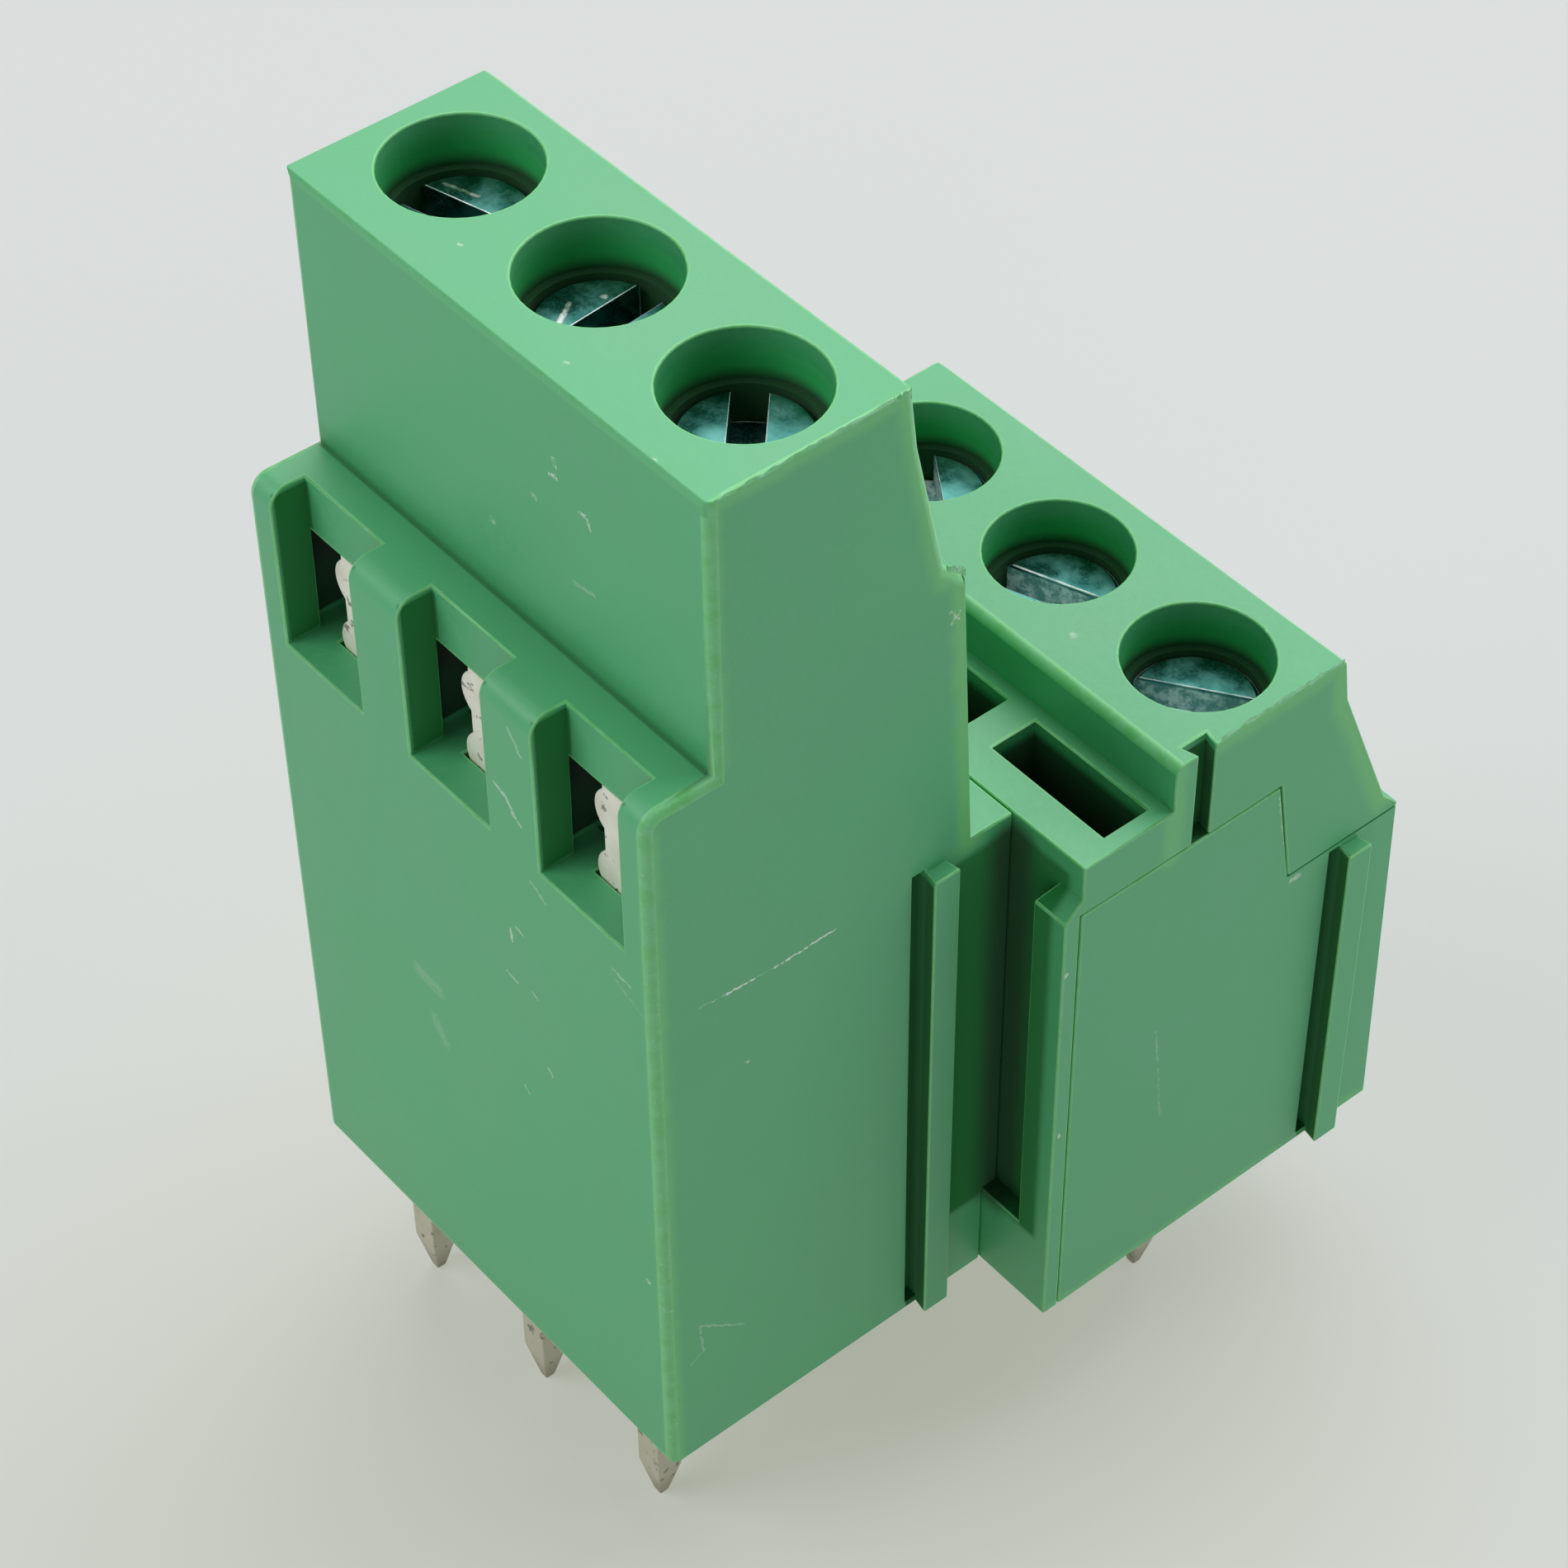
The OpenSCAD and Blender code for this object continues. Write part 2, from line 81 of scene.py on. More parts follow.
# Painted shade: darker greens for the wells, notches, the joint, grooves, pockets and windows
WELL_SHADE_GREEN = (0.004, 0.39, 0.09, 1)
NOTCH_SHADE_GREEN = (0.0, 0.20, 0.033, 1)
JOINT_SHADE_GREEN = (0.0, 0.20, 0.035, 1)
GROOVE_SHADE_GREEN = (0.0, 0.14, 0.022, 1)
SHADE_GREEN = (0.0, 0.08, 0.013, 1)
DEEP_SHADE_GREEN = (0.0, 0.05, 0.012, 1)
WINDOW_SHADE_GREEN = (0.0, 0.012, 0.004, 1)
# Painted highlight along rounded edges, and painted glow where light would pass through thin places and fins
EDGE_HIGHLIGHT_GREEN = (0.19, 0.61, 0.27, 1)
PAINTED_GLOW_GREEN = (0.14, 0.56, 0.17, 1)
FLASH_GLOW_GREEN = (0.36, 0.80, 0.47, 1)
SCUFF_GREEN = (0.55, 0.78, 0.62, 1)
SCRATCH_WHITE = (0.80, 0.90, 0.82, 1)

ZINC_DARK = (0.032, 0.18, 0.165, 1)
ZINC_PALE = (0.125, 0.37, 0.34, 1)
SLOT_HIGHLIGHT_DARK = (0.19, 0.43, 0.43, 1)
SLOT_HIGHLIGHT_PALE = (0.86, 0.96, 0.96, 1)
RIM_DARK = (0.40, 0.62, 0.62, 1)
BARE_METAL = (0.92, 0.95, 0.95, 1)
NICKEL_DARK = (0.50, 0.48, 0.44, 1)
NICKEL_PALE = (0.66, 0.64, 0.60, 1)
TIN_DARK = (0.90, 0.87, 0.74, 1)
TIN_PALE = (0.98, 0.96, 0.86, 1)
PIN_GREY = (0.54, 0.52, 0.41, 1)
PIN_TIP = (0.22, 0.19, 0.13, 1)
TIN_SPECK = (0.10, 0.10, 0.08, 1)

PAPER_DARK = (0.262, 0.270, 0.275, 1)
PAPER_PALE = (0.274, 0.282, 0.287, 1)
PAPER_GLOW = (0.370, 0.386, 0.370, 1)
PAPER_BOUNCE_GLOW = (0.370, 0.378, 0.320, 1)
PAPER_BOUNCE_SPOT = (-6, 9, FLOOR_Z)

# Soft light: each lamp's name, place, diameter and power
ROOM_LIGHT = (0.97, 1.0, 0.99, 1)
ROOM_STRENGTH = 0.06
LAMP_AIM = (0, 0, 10)
LAMPS = [
    ("window_beyond", (90, -190, 340), 560, 1.95),
    ("window_left", (140, 285, 290), 320, 0.82),
    ("window_right", (-200, -380, 140), 320, 0.50),
    ("room_behind", (-320, 270, 150), 420, 0.22),
]


def on_back(*ends):
    return [(x, BACK_Y, z) for x, z in ends]


def on_tower_back(*ends):
    return [(x, TOWER_BACK_Y, z) for x, z in ends]


def on_tall_end(*ends):
    return [(TALL_END_X, y, z) for y, z in ends]


def on_low_end(*ends):
    return [(LOW_END_X, y, z) for y, z in ends]


# Marks as (start, end), half width, strength
BACK_SCUFFS = [
    (on_back((-0.86, 16.09), (-0.92, 15.69)), 0.06, 0.6),
    (on_back((-1.08, 16.35), (-1.38, 16.25)), 0.06, 0.5),
    (on_back((-0.59, 14.32), (-0.98, 14.26)), 0.06, 0.5),
    (on_back((-1.58, 14.42), (-1.80, 14.31)), 0.06, 0.45),
    (on_back((-4.86, 18.07), (-5.62, 18.00)), 0.06, 0.35),
    (on_back((-4.84, 17.83), (-6.19, 17.27)), 0.04, 0.2),
    (on_back((-2.05, 12.00), (-2.20, 11.83)), 0.06, 0.45),
    (on_back((-0.98, 10.43), (-1.14, 10.25)), 0.06, 0.4),
    (on_back((-0.70, 20.90), (-1.07, 20.76)), 0.09, 0.5),
    (on_back((-1.07, 20.74), (-1.36, 20.44)), 0.09, 0.5),
    (on_back((-1.32, 20.40), (-1.60, 20.20)), 0.09, 0.45),
    (on_back((-1.40, 23.18), (-1.81, 22.62)), 0.10, 0.3),
    (on_back((-1.85, 18.52), (-2.41, 18.19)), 0.07, 0.25),
    (on_back((3.40, 11.00), (2.60, 10.90)), 0.35, 0.14),
    (on_back((2.90, 9.60), (2.50, 9.00)), 0.30, 0.12),
    (on_back((-5.66, 7.20), (-5.72, 7.16)), 0.10, 0.7),
    (on_tower_back((-0.93, 29.81), (-0.97, 29.60)), 0.09, 0.6),
    (on_tower_back((-0.76, 29.25), (-1.00, 29.29)), 0.10, 0.6),
    (on_tower_back((-1.77, 28.81), (-2.03, 28.85)), 0.08, 0.6),
    (on_tower_back((-2.06, 28.77), (-2.16, 28.57)), 0.08, 0.5),
    (on_tower_back((-1.43, 26.52), (-2.18, 26.62)), 0.08, 0.2),
    (on_tower_back((-0.09, 28.20), (-0.13, 28.16)), 0.12, 0.35),
    (on_tower_back((1.60, 26.34), (1.56, 26.30)), 0.12, 0.3),
]
TALL_END_SCUFFS = [
    (on_tall_end((7.70, 16.90), (6.90, 16.80)), 0.035, 0.35),
    (on_tall_end((6.90, 16.79), (6.07, 16.74)), 0.05, 1.0),
    (on_tall_end((6.07, 16.74), (5.54, 16.69)), 0.03, 0.3),
    (on_tall_end((5.54, 16.68), (3.58, 16.70)), 0.045, 1.0),
    (on_tall_end((0.17, 24.92), (-0.11, 24.54)), 0.05, 0.6),
    (on_tall_end((0.11, 24.49), (-0.13, 24.76)), 0.05, 0.6),
    (on_tall_end((6.38, 13.99), (6.33, 13.95)), 0.06, 0.5),
    (on_tall_end((9.0, 16.3), (9.0, 16.1)), 0.10, 0.5),
    (on_tall_end((8.05, 5.09), (6.62, 3.98)), 0.05, 0.3),
    (on_tall_end((8.05, 5.09), (7.97, 4.00)), 0.05, 0.25),
    (on_tall_end((7.97, 4.00), (8.39, 3.77)), 0.05, 0.25),
]
TOP_SCUFFS = [
    ([(4.02, 5.75, TALL_TOP_Z), (3.98, 5.73, TALL_TOP_Z)], 0.08, 0.5),
    ([(-4.50, 7.00, TALL_TOP_Z), (-4.54, 7.03, TALL_TOP_Z)], 0.10, 0.6),
    ([(-0.78, 6.46, TALL_TOP_Z), (-0.84, 6.44, TALL_TOP_Z)], 0.07, 0.4),
    ([(-3.78, -6.32, LOW_TOP_Z), (-3.82, -6.32, LOW_TOP_Z)], 0.15, 0.35),
]
LOW_END_SCUFFS = [
    (on_low_end((-1.69, 13.46), (-1.70, 13.40)), 0.09, 0.8),
    (on_low_end((-1.76, 7.32), (-1.77, 7.26)), 0.09, 0.7),
    (on_low_end((-8.86, 14.9), (-9.50, 11.7)), 0.06, 0.45),
    (on_low_end((-9.62, 11.40), (-9.90, 11.36)), 0.12, 0.55),
    (on_low_end((-5.05, 8.90), (-5.20, 7.60)), 0.05, 0.25),
    (on_low_end((-5.24, 7.30), (-5.45, 5.31)), 0.05, 0.2),
]

# Thin places painted with a glow, as if light came through them, as (start, end), reach, strength
TALL_END_GLOWS = [
    (on_tall_end((1.35, TALL_TOP_Z), (0.2, 26.2)), 0.8, 0.9),
    (on_tall_end((-0.35, 25.75), (-0.75, 17.0)), 0.7, 0.9),
    (on_tall_end((TOWER_BACK_Y, TALL_TOP_Z), (1.3, TALL_TOP_Z)), 0.5, 0.7),
    (on_tall_end((TOWER_BACK_Y, 24.3), (TOWER_BACK_Y, TALL_TOP_Z)), 0.5, 0.7),
    (on_tall_end((BACK_Y, 0.0), (BACK_Y, 23.2)), 0.6, 0.8),
]
LOW_END_GLOWS = [
    (on_low_end((-10.85, LOW_TOP_Z), (-10.95, 16.9)), 0.7, 0.9),
    (on_low_end((-11.0, 17.0), (-12.9, 12.3)), 0.7, 0.9),
    (on_low_end((-6.6, LOW_TOP_Z), (-10.85, LOW_TOP_Z)), 0.6, 0.7),
    (on_low_end((-5.1, LOW_TOP_Z), (-5.1, 15.3)), 0.5, 0.6),
    (on_low_end((-1.9, 0.0), (-13.7, 0.0)), 0.4, 0.5),
]
BACK_GLOWS = [
    (on_back((TALL_END_X, 0.0), (TALL_END_X, 23.2)), 0.4, 0.6),
    (on_tower_back((TALL_END_X, 24.3), (TALL_END_X, TALL_TOP_Z)), 0.35, 0.6),
]

# Bright nicks in the heads of the tall screws, as marks
HEAD_Z = 30.6
HEAD_NICKS = [
    ([(2.29, 4.07, HEAD_Z), (1.89, 4.69, HEAD_Z)], 0.09, 0.9),
    ([(2.00, 3.34, HEAD_Z), (1.97, 3.32, HEAD_Z)], 0.10, 1.0),
    ([(7.66, 3.58, HEAD_Z), (6.75, 3.26, HEAD_Z)], 0.07, 0.9),
    ([(7.40, 4.35, HEAD_Z), (7.25, 4.60, HEAD_Z)], 0.08, 0.8),
]

# Places painted with shade, as a box's corners (the tower's back rim instead loses its painted edge
# highlight); in the first three, repeated at each pole,
# X is counted from the middle of the pole
NOTCH_SIDES = ((1.50, 7.0, 19.2), (1.66, 8.95, 23.8))
WINDOW_SIDES = ((1.70, 3.0, 19.3), (2.2, 8.0, 22.4))
POCKETS = ((-2.0, -4.7, -1.0), (2.0, -3.2, 16.25))
JOINT_SIDES = ((-8.25, -2.4, 2.9), (-6.1, -0.3, 16.2))
JOINT_CORNER = ((-6.7, -2.3, 2.9), (-6.1, -1.8, 16.2))
TALL_RELIEF = ((-6.72, 0.76, 0.1), (-5.8, 1.06, 16.5))
LOW_RELIEF = ((-9.26, -11.38, 0.1), (-8.4, -11.08, 11.4))
TALL_BACK_RIM = ((-6.2, 6.7, 31.7), (8.9, 7.2, 32.2))
TOWER_BACK = ((TALL_END_X, 6.9, SHELF_Z), (8.9, 7.12, 31.0))
KEY_GROOVE = ((-8.80, -6.55, 15.2), (-8.3, -5.65, 18.1))

# Heights: where the painted shade in the windows and pockets deepens, the low screws' slots, where the pins
# turn dull and dark
WINDOW_DUSK = (20.3, 21.3)
POCKET_DUSK = (16.4, 14.8)
LOW_SLOTS = (14.5, 16.82)
PIN_DULL = (1.0, -0.5)
PIN_DARK = (-3.6, -5.0)

# Torn flash: name, start, end, height at the start and at the end, seed
FLASHES = [
    ("tall_rim_flash", (-6.32, 6.9, 32.08), (-6.32, 2.0, 32.08), (0.05, 0.20), 1.0),
    ("tall_corner_flash", (-6.32, 2.0, 32.08), (-6.32, 1.42, 32.0), (0.20, 0.32), 2.0),
    ("ledge_flash", (-6.32, 0.28, 26.3), (-6.32, -0.30, 25.85), (0.12, 0.30), 3.0),
    ("low_rim_flash", (-8.86, -6.55, 18.38), (-8.86, -10.75, 18.38), (0.24, 0.30), 4.0),
]
FLASH_THICKNESS = 0.06
FLASH_ROOT = 0.04


class Value:
    """A socket of a finish, with arithmetic that adds the nodes it needs."""

    def __init__(self, finish, socket):
        self.finish = finish
        self.socket = socket

    def __add__(self, other):
        return self.finish.math("ADD", self, other)

    def __radd__(self, other):
        return self.finish.math("ADD", other, self)

    def __sub__(self, other):
        return self.finish.math("SUBTRACT", self, other)

    def __rsub__(self, other):
        return self.finish.math("SUBTRACT", other, self)

    def __mul__(self, other):
        return self.finish.math("MULTIPLY", self, other)

    def __rmul__(self, other):
        return self.finish.math("MULTIPLY", other, self)

    def most(self, other):
        return self.finish.math("MAXIMUM", self, other)


class Finish:
    """A material in the making, with its surface point in millimetres."""

    def __init__(self, name):
        self.material = bpy.data.materials.new(name)
        self.material.use_nodes = True
        self.tree = self.material.node_tree
        self.shader = self.tree.nodes["Principled BSDF"]
        place = self.node("ShaderNodeTexCoord", out="Object")
        self.point = self.scaled(place, 1000)
        split = self.node("ShaderNodeSeparateXYZ", None, {0: self.point}).socket.node
        self.x, self.y, self.z = (Value(self, split.outputs[axis]) for axis in "XYZ")

    def join(self, made, sockets):
        for name, value in sockets.items():
            if isinstance(value, Value):
                self.tree.links.new(value.socket, made.inputs[name])
            else:
                made.inputs[name].default_value = value

    def node(self, kind, settings=None, sockets=None, out=0):
        """Any node: its type, its settings, then its sockets."""
        made = self.tree.nodes.new(kind)
        for name, value in (settings or {}).items():
            setattr(made, name, value)
        self.join(made, sockets or {})
        return Value(self, made.outputs[out])

    def math(self, operation, *values):
        return self.node("ShaderNodeMath", {"operation": operation}, dict(enumerate(values)))

    def vector(self, operation, first, second, out=0):
        return self.node("ShaderNodeVectorMath", {"operation": operation}, {0: first, 1: second}, out)

    def scaled(self, first, scale):
        return self.node("ShaderNodeVectorMath", {"operation": "SCALE"}, {0: first, "Scale": scale})

    def distance(self, first, second):
        return self.vector("DISTANCE", first, second, out="Value")

    def noise(self, scale, detail=2.0, roughness=0.5, out=0):
        sockets = {"Vector": self.point, "Scale": scale, "Detail": detail, "Roughness": roughness}
        return self.node("ShaderNodeTexNoise", None, sockets, out)

    def ragged(self, scale, reach):
        """The surface point, shaken a little, so that a mark's edge isn't straight."""
        shake = self.vector("SUBTRACT", self.noise(scale, out="Color"), (0.5, 0.5, 0.5))
        return self.vector("ADD", self.point, self.scaled(shake, 2 * reach))

    def fade(self, value, low, high):
        """0 at low and 1 at high, eased between them."""
        sockets = {"Value": value, "From Min": low, "From Max": high}
        return self.node("ShaderNodeMapRange", {"interpolation_type": "SMOOTHSTEP"}, sockets)

    def blend(self, amount, first, second):
        return self.node("ShaderNodeMix", {"data_type": "RGBA"}, {0: amount, 6: first, 7: second}, 2)

    def stroke(self, point, ends, width):
        """1 along a straight mark, 0 a width away from it."""
        start, end = (Vector(v) for v in ends)
        run = end - start
        offset = self.vector("SUBTRACT", point, start)
        along = self.vector("DOT_PRODUCT", offset, run / run.length_squared, out="Value")
        along = self.node("ShaderNodeClamp", None, {"Value": along})
        nearest = self.scaled(run, along)
        return self.fade(self.distance(offset, nearest), width, 0.3 * width)

    def strokes(self, point, marks):
        """The strongest of several marks at each point."""
        total = 0.0
        for ends, width, strength in marks:
            total = (self.stroke(point, ends, width) * strength).most(total)
        return total

    def bay(self, middle):
        """The surface point, with X counted from the middle of the nearest pole to either side."""
        across = self.math("ABSOLUTE", self.math("WRAP", self.x - middle, PITCH / 2, -PITCH / 2))
        return self.node("ShaderNodeCombineXYZ", None, {0: across, 1: self.y, 2: self.z})

    def hollow(self, point, box, soft):
        """1 in a box, easing to 0 round it."""
        low, high = (Vector(corner) for corner in box)
        offset = self.vector("SUBTRACT", point, (low + high) / 2)
        outside = self.vector("SUBTRACT", self.vector("ABSOLUTE", offset, (0, 0, 0)), (high - low) / 2)
        outside = self.vector("MAXIMUM", outside, (0, 0, 0))
        return self.fade(self.distance(outside, (0, 0, 0)), soft, 0.0)

    def wells(self, shallow, deep):
        """In the round wells, 0 down to a shallow depth, and 1 from a deep one on."""
        inside = []
        for (x, y), top in ((TALL_POLE, TALL_TOP_Z), (LOW_POLE, LOW_TOP_Z)):
            flat = self.vector("MULTIPLY", self.bay(x), (1, 1, 0))
            within = self.fade(self.distance(flat, (0, y, 0)), WELL_RADIUS + 0.1, WELL_RADIUS + 0.03)
            inside.append(within * self.fade(self.z, top - shallow, top - deep))
        return inside[0].most(inside[1])

    def in_wells(self, amount, colour):
        """A colour with the wells' painted shade over it, ever darker down to their floors."""
        colour = self.blend(amount, colour, WELL_SHADE_GREEN)
        colour = self.blend(self.wells(1.0, 1.5), colour, SHADE_GREEN)
        return self.blend(self.wells(1.3, 1.46) * 0.3, colour, WINDOW_SHADE_GREEN)

    def bump(self, height, strength, distance):
        sockets = {"Strength": strength, "Distance": distance, "Height": height}
        return self.node("ShaderNodeBump", None, sockets)

    def finish(self, **sockets):
        """Sets the shader's sockets, with _ for a space in a name."""
        self.join(self.shader, {name.replace("_", " "): value for name, value in sockets.items()})
        return self.material


def green_moulding(name, scuffs, glows=()):
    """Satin green polyamide: flow marks, fine grain flecked with painted sheen, painted glow along thin
    borders, painted shade in notches, windows, the tower's crease, the joint, pockets, grooves and wells,
    scuffs.
    """
    f = Finish(name)
    flow = f.noise(0.16, 3.0)
    grain = f.noise(7.0, 3.0, 0.6)
    colour = f.blend(f.fade(flow, 0.3, 0.7), BODY_GREEN, FLOW_GREEN)
    # Fine grain, flecked with painted sheen
    colour = f.blend(f.fade(grain, 0.35, 0.75) * 0.10, colour, PAINTED_SHEEN_GREEN)
    # Painted shade in the notches, the windows behind them, the tower's back crease, the joint, the pockets
    # and the grooves
    notch = f.hollow(f.bay(TALL_POLE[0]), NOTCH_SIDES, 0.1)
    colour = f.blend(notch, colour, NOTCH_SHADE_GREEN)
    window = f.hollow(f.bay(TALL_POLE[0]), WINDOW_SIDES, 0.1)
    colour = f.blend(window, colour, f.blend(f.fade(f.z, *WINDOW_DUSK), DEEP_SHADE_GREEN, WINDOW_SHADE_GREEN))
    tower = f.hollow(f.point, TOWER_BACK, 0.05)
    colour = f.blend(tower * f.fade(f.z, SHELF_Z + 1.1, SHELF_Z) * 0.4, colour, NOTCH_SHADE_GREEN)
    colour = f.blend(tower * f.fade(f.z, SHELF_Z + 0.3, SHELF_Z) * 0.4, colour, SHADE_GREEN)
    joint = f.hollow(f.point, JOINT_SIDES, 0.3)
    colour = f.blend(joint, colour, JOINT_SHADE_GREEN)
    pocket = f.hollow(f.bay(LOW_POLE[0]), POCKETS, 0.4)
    deep = pocket.most(f.hollow(f.point, JOINT_CORNER, 0.8))
    colour = f.blend(deep, colour, SHADE_GREEN)
    for box in (TALL_RELIEF, LOW_RELIEF, KEY_GROOVE):
        groove = f.hollow(f.point, box, 0.07)
        colour = f.blend(groove, colour, GROOVE_SHADE_GREEN)
        deep = deep.most(groove)
    colour = f.blend(pocket * f.fade(f.z, *POCKET_DUSK), colour, DEEP_SHADE_GREEN)
    # Painted shade down the wells
    well = f.wells(0.1, 0.9)
    colour = f.in_wells(well, colour)
    if glows:
        # Painted glow along thin borders
        glow = f.strokes(f.ragged(2.0, 0.12), glows)
        colour = f.blend(glow, colour, PAINTED_GLOW_GREEN)
    mark = f.strokes(f.ragged(5.0, 0.09), scuffs) * f.fade(f.noise(9.0, 3.0), 0.3, 0.52)
    colour = f.blend(mark, colour, SCRATCH_WHITE)
    rough = 0.40 + 0.10 * f.fade(flow, 0.25, 0.75) + 0.10 * f.fade(grain, 0.3, 0.7) + 0.2 * mark
    rough = rough.most(deep.most(well).most(notch).most(window).most(joint))
    relief = f.bump(grain + 3.0 * mark, 0.14, 0.00002)
    return f.finish(Base_Color=colour, Roughness=rough, Normal=relief, IOR=1.75)


def scuffed_edge_highlight(name):
    """The pale yellow-green of thin moulded edges: a painted highlight with pale scuffs."""
    f = Finish(name)
    edge_patches = f.noise(2.2, 4.0, 0.6)
    # Painted highlight, patchy, with pale scuffs
    colour = f.blend(f.fade(edge_patches, 0.3, 0.65), PAINTED_GLOW_GREEN, EDGE_HIGHLIGHT_GREEN)
    colour = f.blend(f.fade(f.noise(6.0, 3.0), 0.62, 0.78) * 0.35, colour, SCUFF_GREEN)
    # No painted highlight on the tower's top back rim; painted shade in the joint's corner and the wells
    colour = f.blend(f.hollow(f.point, TALL_BACK_RIM, 0.1) * 0.6, colour, BODY_GREEN)
    colour = f.blend(f.hollow(f.point, JOINT_CORNER, 0.6), colour, SHADE_GREEN)
    colour = f.in_wells(f.wells(0.05, 0.25), colour)
    rough = 0.34 + 0.2 * f.fade(edge_patches, 0.3, 0.7)
    relief = f.bump(f.noise(8.0, 3.0), 0.25, 0.00002)
    return f.finish(Base_Color=colour, Roughness=rough, Normal=relief, IOR=1.6)


def torn_flash(name):
    """Thin torn fins, painted pale with a glow, as if light came through them."""
    f = Finish(name)
    colour = f.blend(f.fade(f.noise(3.0, 3.0), 0.35, 0.65), EDGE_HIGHLIGHT_GREEN, FLASH_GLOW_GREEN)
    return f.finish(Base_Color=colour, Roughness=0.5)


def zinc_screw(name):
    """Blue-green passivated zinc with fine drag lines, a few bright nicks, and low slots painted pale and
    dull as a painted highlight.
    """
    f = Finish(name)
    stain = f.noise(1.3, 3.0)
    drag = f.noise(14.0, 2.0)
    stained = f.fade(stain, 0.3, 0.7)
    colour = f.blend(stained, ZINC_DARK, ZINC_PALE)
    # The low slots are painted pale and dull, a painted highlight
    floor, rim = LOW_SLOTS
    slot = f.fade(f.z, floor - 0.1, floor) * f.fade(f.z, rim, rim - 0.05)
    streaked = f.fade(f.noise(2.6, 4.0, 0.7), 0.4, 0.62)
    colour = f.blend(slot, colour, f.blend(streaked, SLOT_HIGHLIGHT_DARK, SLOT_HIGHLIGHT_PALE))
    bright = f.strokes(f.ragged(5.0, 0.05), HEAD_NICKS)
    colour = f.blend(bright, colour, BARE_METAL)
    rough = 0.22 + 0.14 * stained + 0.1 * f.fade(drag, 0.4, 0.7) + 0.25 * slot
    relief = f.bump(drag, 0.12, 0.00001)
    return f.finish(Base_Color=colour, Metallic=1.0 - 0.8 * slot, Roughness=rough, Normal=relief)


def zinc_rim(name):
    """The bright worn rims of the heads and their slots."""
    f = Finish(name)
    wear = f.fade(f.noise(2.4, 3.0), 0.35, 0.6)
    colour = f.blend(wear, RIM_DARK, BARE_METAL)
    return f.finish(Base_Color=colour, Metallic=0.55, Roughness=0.38)


def nickel_cage(name):
    """Bright nickel with faint stains."""
    f = Finish(name)
    stain = f.noise(1.1, 3.0)
    stained = f.fade(stain, 0.3, 0.7)
    colour = f.blend(stained, NICKEL_DARK, NICKEL_PALE)
    relief = f.bump(f.noise(6.0), 0.1, 0.00001)
    return f.finish(Base_Color=colour, Metallic=1.0, Roughness=0.28 + 0.16 * stained, Normal=relief)


def tin_strip(name):
    """Dull tin plating with dark specks, greyer on the pins below the board."""
    f = Finish(name)
    speck = f.fade(f.noise(3.2, 4.0, 0.6), 0.60, 0.66)
    stain = f.noise(1.6, 3.0)
    stained = f.fade(stain, 0.3, 0.7)
    colour = f.blend(stained, TIN_DARK, TIN_PALE)
    colour = f.blend(f.fade(f.z, *PIN_DULL), colour, PIN_GREY)
    colour = f.blend(f.fade(f.z, *PIN_DARK) * 0.6, colour, PIN_TIP)
    colour = f.blend(speck * 0.75, colour, TIN_SPECK)
    relief = f.bump(f.noise(8.0), 0.15, 0.00002)
    return f.finish(Base_Color=colour, Metallic=0.05, Roughness=0.42 + 0.2 * stained, Normal=relief)


def pale_floor(name):
    """Pale paper that glows a little, lifting its shadow, with a painted warm bounce of light from the block
    near it.
    """
    f = Finish(name)
    tone = f.noise(0.012, 2.0)
    colour = f.blend(f.fade(tone, 0.3, 0.7), PAPER_DARK, PAPER_PALE)
    # Painted warm bounce light near the block
    near = f.fade(f.distance(f.point, PAPER_BOUNCE_SPOT), 40, 8)
    glow = f.blend(near, PAPER_GLOW, PAPER_BOUNCE_GLOW)
    return f.finish(Base_Color=colour, Roughness=0.9, Emission_Color=glow, Emission_Strength=1.0)


def merged_copy(node):
    """A solid's mesh as one skin, with whole faces instead of triangles."""
    bm = bmesh.new()
    bm.from_mesh(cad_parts[node].data)
    bmesh.ops.remove_doubles(bm, verts=bm.verts[:], dist=2e-6)
    bmesh.ops.dissolve_limit(bm, angle_limit=math.radians(0.6), verts=bm.verts[:], edges=bm.edges[:])
    for edge in bm.edges:
        edge.smooth = abs(edge.calc_face_angle_signed()) < SHARP
    return bm


def set_piece(bm, name, body, materials):
    mesh = bpy.data.meshes.new(name)
    bm.to_mesh(mesh)
    bm.free()
    for material in materials:
        mesh.materials.append(material)
    mesh.shade_smooth()
    piece = bpy.data.objects.new(name, mesh)
    bpy.context.scene.collection.objects.link(piece)
    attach(piece, body)
    return piece


def chains(edges):
    """Groups of edges that run on smoothly from one to the next."""
    waiting = set(edges)
    groups = []
    while waiting:
        group = [waiting.pop()]
        for edge in group:
            for vert in edge.verts:
                ahead = (vert.co - edge.other_vert(vert).co).normalized()
                for other in waiting.intersection(vert.link_edges):
                    onward = (other.other_vert(vert).co - vert.co).normalized()
                    if ahead.dot(onward) > math.cos(math.radians(35)):
                        waiting.discard(other)
                        group.append(other)
        groups.append(group)
    return groups


def skin_of(node):
    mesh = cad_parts[node].data
    corners = [vert.co.copy() for vert in mesh.vertices]
    return BVHTree.FromPolygons(corners, [list(face.vertices) for face in mesh.polygons])


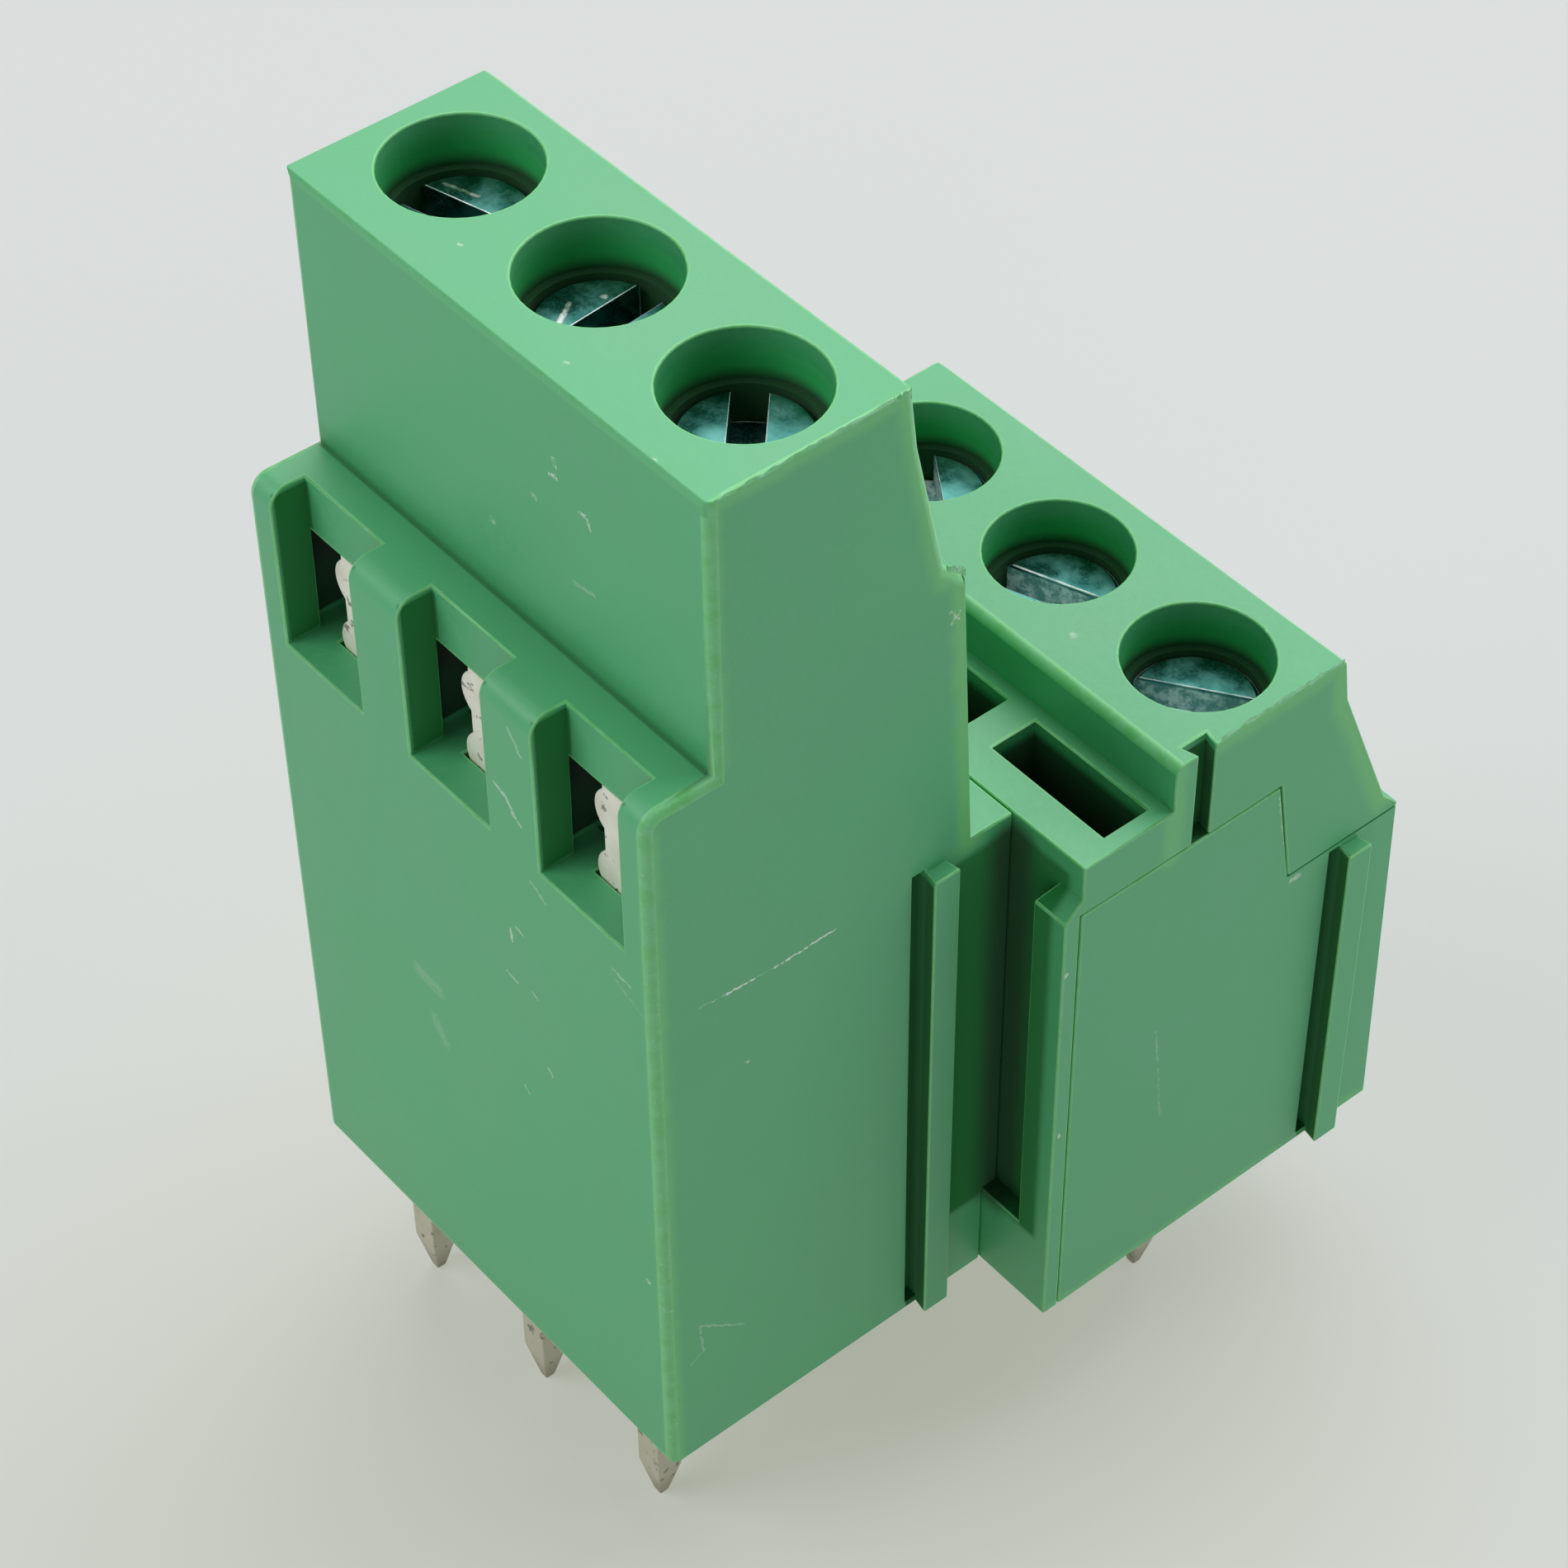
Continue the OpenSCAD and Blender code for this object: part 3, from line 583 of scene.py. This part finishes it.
def room(loop):
    """How far a face reaches straight in from the middle of one of its edges."""
    start, end = loop.vert.co, loop.link_loop_next.vert.co
    along = (end - start).normalized()
    inward = loop.face.normal.cross(along)
    middle = (start + end) / 2
    reach = math.inf
    for edge in loop.face.edges:
        (ahead, depth), (ahead_2, depth_2) = (
            ((vert.co - middle).dot(along), (vert.co - middle).dot(inward)) for vert in edge.verts
        )
        if ahead * ahead_2 < 0 and edge is not loop.edge and abs(edge.calc_face_angle_signed()) > 0.02:
            across = depth + (depth_2 - depth) * ahead / (ahead - ahead_2)
            if across > 0:
                reach = min(reach, across)
    return reach


def rounding_of(group, radius, crisp):
    """How far a run of edges may be rounded: less on round rims and narrow faces, not on slivers."""
    length = sum(edge.calc_length() for edge in group)
    clear = min(room(loop) for edge in group for loop in edge.link_loops)
    members = set(group)
    beside = [
        other.calc_length()
        for edge in group for vert in edge.verts for other in vert.link_edges
        if other not in members
    ]
    if length < SHORT_RUN * MM or clear < NARROW * MM:
        radius = crisp
    elif length < FINE_STEP * MM * len(group):
        radius *= 0.5
    return min(radius, 0.4 * min(beside)) if clear > SLIVER * MM else 0.0


def facing(face):
    """0 for most faces of a moulding, 1 for its back, 2 for its near end."""
    if face.normal.y > 0.9:
        return 1
    return 2 if face.normal.x < -0.9 else 0


def rounded(node, body, materials, radius, crisp, neighbours=()):
    """Stands for a solid, with its outer edges rounded; edges that meet a neighbour stay crisp."""
    bm = merged_copy(node)
    if len(materials) > 2:
        for face in bm.faces:
            face.material_index = facing(face)
    weight = bm.edges.layers.float.new("bevel_weight_edge")
    skins = [skin_of(other) for other in neighbours]
    outer = [edge for edge in bm.edges if edge.calc_face_angle_signed() > SHARP]
    for group in chains(outer):
        middles = [(edge.verts[0].co + edge.verts[1].co) / 2 for edge in group]
        meets = any(skin.find_nearest(middle, TOUCH * MM)[0] for middle in middles for skin in skins)
        rounding = rounding_of(group, crisp if meets else radius, crisp)
        for edge in group:
            edge[weight] = rounding / radius
    piece = set_piece(bm, node + "_rounded", body, materials)
    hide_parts(node)
    edges = piece.modifiers.new("edges", "BEVEL")
    edges.limit_method = "WEIGHT"
    edges.width = radius
    edges.segments = 3
    edges.use_clamp_overlap = False
    edges.harden_normals = True
    # The rounded faces take the last finish: on the mouldings, their painted edge highlight
    edges.material = len(materials) - 1
    return piece


def flash(name, start, end, heights, seed, material):
    """A thin ragged fin that the mould left along an edge."""
    start, end = Vector(start), Vector(end)
    bm = bmesh.new()
    bmesh.ops.create_grid(bm, x_segments=30, y_segments=3, size=1)
    for vert in bm.verts:
        along, up = (vert.co.x + 1) / 2, (vert.co.y + 1) / 2
        tooth = 0.55 + 0.6 * noise.noise((11 * along, seed, 0.0))
        tooth += 0.35 * noise.noise((31 * along, seed, 5.0))
        height = (heights[0] + (heights[1] - heights[0]) * along) * max(tooth, 0.1)
        sway = 0.05 * up * noise.noise((17 * along, seed, 9.0))
        root = start.lerp(end, along) - Vector((0, 0, FLASH_ROOT))
        vert.co = (root + Vector((sway, 0, up * (height + FLASH_ROOT)))) * MM
    bmesh.ops.solidify(bm, geom=bm.faces[:], thickness=FLASH_THICKNESS * MM)
    bmesh.ops.recalc_face_normals(bm, faces=bm.faces[:])
    for edge in bm.edges:
        edge.smooth = edge.calc_face_angle() < math.radians(40)
    return set_piece(bm, name, "block", [material])


def set_camera():
    """A camera that sees what the photograph's camera saw."""
    azimuth, elevation, roll = (math.radians(v) for v in (CAMERA_AZIMUTH, CAMERA_ELEVATION, CAMERA_ROLL))
    back = Vector((
        math.sin(azimuth) * math.cos(elevation), -math.cos(azimuth) * math.cos(elevation), math.sin(elevation)
    ))
    right = Vector((0, 0, 1)).cross(back).normalized()
    up = back.cross(right)
    across = right * math.cos(roll) + up * math.sin(roll)
    above = up * math.cos(roll) - right * math.sin(roll)
    camera = bpy.data.objects.new("camera", bpy.data.cameras.new("camera"))
    camera.data.lens = CAMERA_LENS
    camera.data.sensor_width = 36
    camera.data.clip_start = 0.001
    camera.data.clip_end = 10
    turn = Matrix((across, above, back)).transposed().to_4x4()
    camera.matrix_world = Matrix.Translation((Vector(CAMERA_TARGET) + back * CAMERA_DISTANCE) * MM) @ turn
    bpy.context.scene.collection.objects.link(camera)
    bpy.context.scene.camera = camera


def lay_floor():
    bm = bmesh.new()
    bmesh.ops.create_grid(bm, x_segments=1, y_segments=1, size=2.0)
    bmesh.ops.translate(bm, verts=bm.verts[:], vec=(0, 0, FLOOR_Z * MM))
    mesh = bpy.data.meshes.new("floor")
    bm.to_mesh(mesh)
    bm.free()
    mesh.materials.append(pale_floor("floor_paper"))
    floor = bpy.data.objects.new("floor", mesh)
    bpy.context.scene.collection.objects.link(floor)


def light_room():
    world = bpy.data.worlds.new("room")
    world.use_nodes = True
    world.node_tree.nodes["Background"].inputs["Color"].default_value = ROOM_LIGHT
    world.node_tree.nodes["Background"].inputs["Strength"].default_value = ROOM_STRENGTH
    bpy.context.scene.world = world
    for name, place, size, power in LAMPS:
        light = bpy.data.lights.new(name, "AREA")
        light.shape = "DISK"
        light.size = size * MM
        light.energy = power
        lamp = bpy.data.objects.new(name, light)
        lamp.location = Vector(place) * MM
        lamp.rotation_mode = "QUATERNION"
        lamp.rotation_quaternion = (Vector(LAMP_AIM) - Vector(place)).to_track_quat("-Z", "Y")
        bpy.context.scene.collection.objects.link(lamp)


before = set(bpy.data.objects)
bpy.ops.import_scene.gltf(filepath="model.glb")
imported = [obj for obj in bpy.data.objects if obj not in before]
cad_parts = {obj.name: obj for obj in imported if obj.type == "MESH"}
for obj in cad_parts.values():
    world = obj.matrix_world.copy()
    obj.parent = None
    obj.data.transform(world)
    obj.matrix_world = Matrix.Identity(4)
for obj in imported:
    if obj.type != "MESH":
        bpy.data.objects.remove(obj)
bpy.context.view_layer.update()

bpy.context.scene.view_settings.view_transform = "Standard"

plain_green = green_moulding("green_top", TOP_SCUFFS)
back_green = green_moulding("green_back", BACK_SCUFFS, BACK_GLOWS)
tall_end_green = green_moulding("green_tall_end", TALL_END_SCUFFS, TALL_END_GLOWS)
low_end_green = green_moulding("green_low_end", LOW_END_SCUFFS, LOW_END_GLOWS)
edge_highlight_green = scuffed_edge_highlight("scuffed_green_edge_highlight")
fin_green = torn_flash("torn_green_flash")
zinc = zinc_screw("zinc_plating")
bright_zinc = zinc_rim("worn_zinc_rim")
nickel = nickel_cage("nickel_plating")
tin = tin_strip("tin_plating")

for node in MOULDINGS:
    others = [other for other in MOULDINGS if other != node]
    end_green = tall_end_green if node == "upper_housing" else low_end_green
    greens = [plain_green, back_green, end_green, edge_highlight_green]
    rounded(node, "block", greens, MOULDING_ROUNDING * MM, CRISP_ROUNDING * MM, others)
for tier in TIERS:
    for number in ROW:
        screw, cage, contact = (f"{tier}_{kind}_{number}" for kind in ("screw", "cage", "contact"))
        zincs = [zinc, bright_zinc]
        rounded(screw, screw + "_body", zincs, SCREW_ROUNDING * MM, SCREW_ROUNDING * MM)
        rounded(cage, cage + "_body", [nickel], CAGE_ROUNDING * MM, CAGE_ROUNDING * MM)
        rounded(contact, "block", [tin], CONTACT_ROUNDING * MM, CONTACT_ROUNDING * MM)

for name, start, end, heights, seed in FLASHES:
    flash(name, start, end, heights, seed, fin_green)

set_camera()
lay_floor()
light_room()
